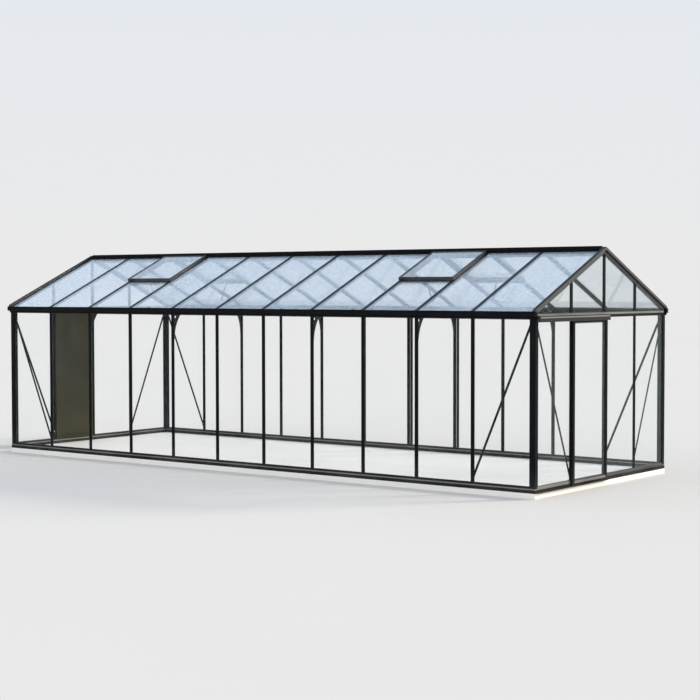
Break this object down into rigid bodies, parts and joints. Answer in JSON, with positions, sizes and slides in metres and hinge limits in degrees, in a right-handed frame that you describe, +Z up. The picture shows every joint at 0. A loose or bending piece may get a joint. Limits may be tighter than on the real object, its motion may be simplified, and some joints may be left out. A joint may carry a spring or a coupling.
{
  "type": "glass greenhouse",
  "caption": "Long glazed greenhouse with a pitched glass roof, roof vents, corner braces and a sliding door in one gable, on a concrete floor slab.",
  "frame": {"origin": "middle of the floor slab's underside, on the ground", "axes": "+X along the building to the gable with the sliding door, +Y from the front wall to the back wall, +Z up"},
  "size_m": [8.37, 3.112, 2.7151],
  "materials": {
    "black_frame": "satin powder coat",
    "clear_glass": "clear float glass",
    "concrete": "floated concrete",
    "panel_sheet": "matt coated sheet",
    "roller_plastic": "nylon",
    "glazing_seal": "clear glazing seal",
    "plated_steel": "dull zinc plating on bolts and screws",
    "black_plastic": "moulded end caps and buffers"
  },
  "bodies": {
    "building": {"front_base_rail": "black_frame", "back_base_rail": "black_frame", "right_base_rail": "black_frame", "left_base_rail": "black_frame", "corner_posts": "black_frame", "front_wall_posts": "black_frame", "back_wall_posts": "black_frame", "right_gable_posts": "black_frame", "right_gable_uprights": "black_frame", "left_gable_posts": "black_frame", "left_gable_uprights": "black_frame", "front_gutter": "black_frame", "back_gutter": "black_frame", "tie_beams": "black_frame", "ridge_beam": "black_frame", "right_verge": "black_frame", "left_verge": "black_frame", "front_roof_bars": "black_frame", "back_roof_bars": "black_frame", "vent_sills": "black_frame", "front_right_vent": "black_frame", "front_left_vent": "black_frame", "back_right_vent": "black_frame", "back_left_vent": "black_frame", "vent_stays": "black_frame", "front_knee_brackets": "black_frame", "back_knee_brackets": "black_frame", "diagonal_braces": "black_frame", "door_track": "black_frame", "door_guide": "black_frame", "front_wall_glass": "clear_glass", "back_wall_glass": "clear_glass", "right_gable_glass": "clear_glass", "left_gable_glass": "clear_glass", "right_gable_top_glass": "clear_glass", "left_gable_top_glass": "clear_glass", "front_roof_glass": "clear_glass", "back_roof_glass": "clear_glass", "front_vent_glass": "clear_glass", "back_vent_glass": "clear_glass", "floor_slab": "concrete", "left_gable_panel": "panel_sheet"},
    "door": {"door_frame": "black_frame", "door_glass": "clear_glass", "door_rollers": "roller_plastic"}
  },
  "joints": [
    {"name": "door_slide", "type": "slide", "parent": "building", "child": "door", "axis": [0, -1, 0], "range_m": [0, 0.72]}
  ]
}
